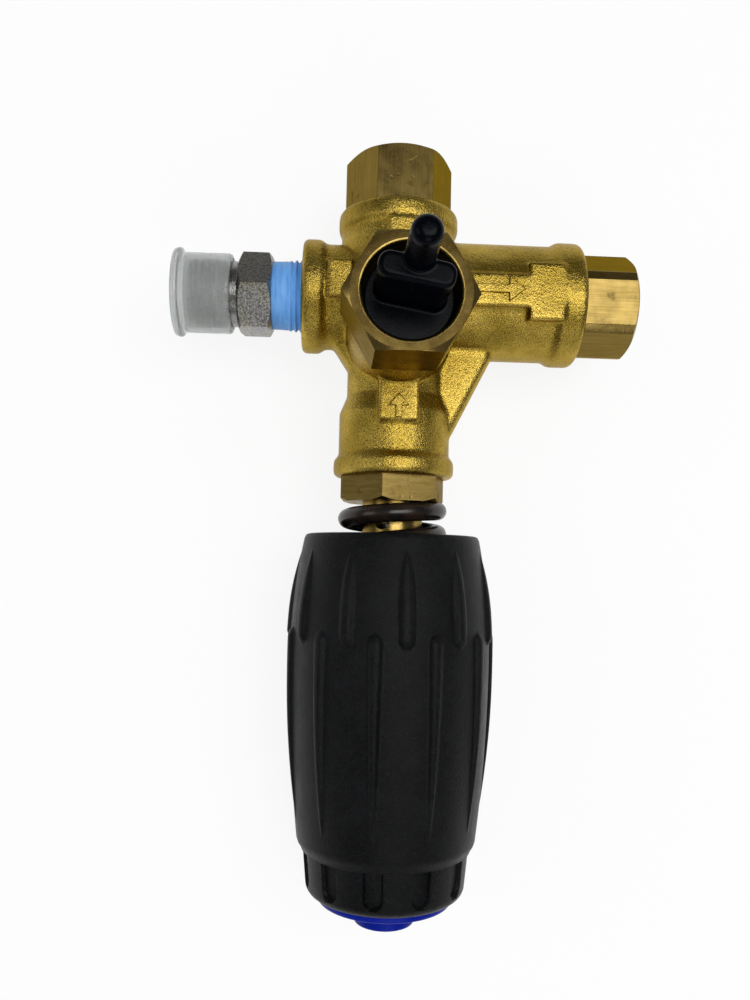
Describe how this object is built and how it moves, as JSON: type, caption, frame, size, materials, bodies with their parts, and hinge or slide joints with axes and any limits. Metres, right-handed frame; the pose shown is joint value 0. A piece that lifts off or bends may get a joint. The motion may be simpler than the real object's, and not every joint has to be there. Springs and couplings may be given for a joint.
{
  "type": "pressure washer unloader valve",
  "caption": "Forged brass unloader valve: screwed inlet, outlet and bypass ports, side adapter, spring-loaded stem and a ribbed adjusting knob.",
  "frame": {"origin": "centre of the mouth of the inlet port", "axes": "+Z from the inlet port along the stem to the knob, -Y out of the bypass port, -X out of the outlet port"},
  "size_m": [0.1167, 0.0965, 0.1926],
  "materials": {
    "forged_brass": "rough forged and tumbled",
    "machined_brass": "turned and milled",
    "seal_rubber": "matte",
    "white_plastic": "matte",
    "stainless_steel": "turned",
    "plated_steel": "yellow zinc plated",
    "coated_spring": "glossy dark coating",
    "blue_sealant": "satin",
    "milky_plastic": "translucent",
    "black_plastic": "moulded",
    "knob_plastic": "fine grain",
    "blue_plastic": "moulded"
  },
  "bodies": {
    "valve": {"valve_body": "forged_brass", "inlet_fitting": "machined_brass", "outlet_fitting": "machined_brass", "bypass_fitting": "machined_brass", "gland_nut": "machined_brass", "inlet_o_ring": "seal_rubber", "outlet_o_ring": "seal_rubber", "bypass_o_ring": "seal_rubber", "gland_o_ring": "seal_rubber", "check_seat": "stainless_steel", "check_seat_o_ring": "seal_rubber", "check_spring": "stainless_steel", "bypass_seat": "stainless_steel", "bypass_seat_o_ring": "seal_rubber", "stem_seal": "seal_rubber", "stem_back_up_ring": "white_plastic", "side_adapter": "plated_steel", "thread_sealant": "blue_sealant", "adjusting_spring": "coated_spring"},
    "check": {"check_poppet": "stainless_steel"},
    "stem": {"valve_stem": "stainless_steel", "bypass_poppet": "stainless_steel", "pilot_piston": "machined_brass", "piston_o_ring": "seal_rubber", "piston_back_up_ring": "white_plastic", "lock_nut": "stainless_steel"},
    "plate": {"spring_plate": "plated_steel"},
    "knob": {"knob": "knob_plastic", "knob_insert": "machined_brass", "knob_cap": "blue_plastic"},
    "plug": {"bypass_plug": "black_plastic"},
    "cap": {"adapter_cap": "milky_plastic"}
  },
  "joints": [
    {"name": "check_slide", "type": "slide", "parent": "valve", "child": "check", "axis": [-1, 0, 0], "range_m": [0, 0.0035], "stiffness_N_per_m": 790, "deforming": ["check_spring"]},
    {"name": "stem_slide", "type": "slide", "parent": "valve", "child": "stem", "axis": [0, 0, -1], "range_m": [0, 0.003], "stiffness_N_per_m": 60000, "deforming": ["adjusting_spring"]},
    {"name": "plate_travel", "type": "slide", "parent": "stem", "child": "plate", "axis": [0, 0, -1], "range_m": [-0.005, 0.00625], "deforming": ["adjusting_spring"]},
    {"name": "knob_turn", "type": "hinge", "parent": "plate", "child": "knob", "pos_m": [0, 0, 0.16], "axis": [0, 0, -1], "range_deg": [-1445, 1805]},
    {"name": "plug_pull", "type": "slide", "parent": "valve", "child": "plug", "axis": [0, -1, 0], "range_m": [0, 0.014]},
    {"name": "cap_pull", "type": "slide", "parent": "valve", "child": "cap", "axis": [1, 0, 0], "range_m": [0, 0.012]}
  ],
  "couplings": [
    {"joint": "knob_turn", "follows": "plate_travel", "rad_per_m": 5026.5}
  ]
}
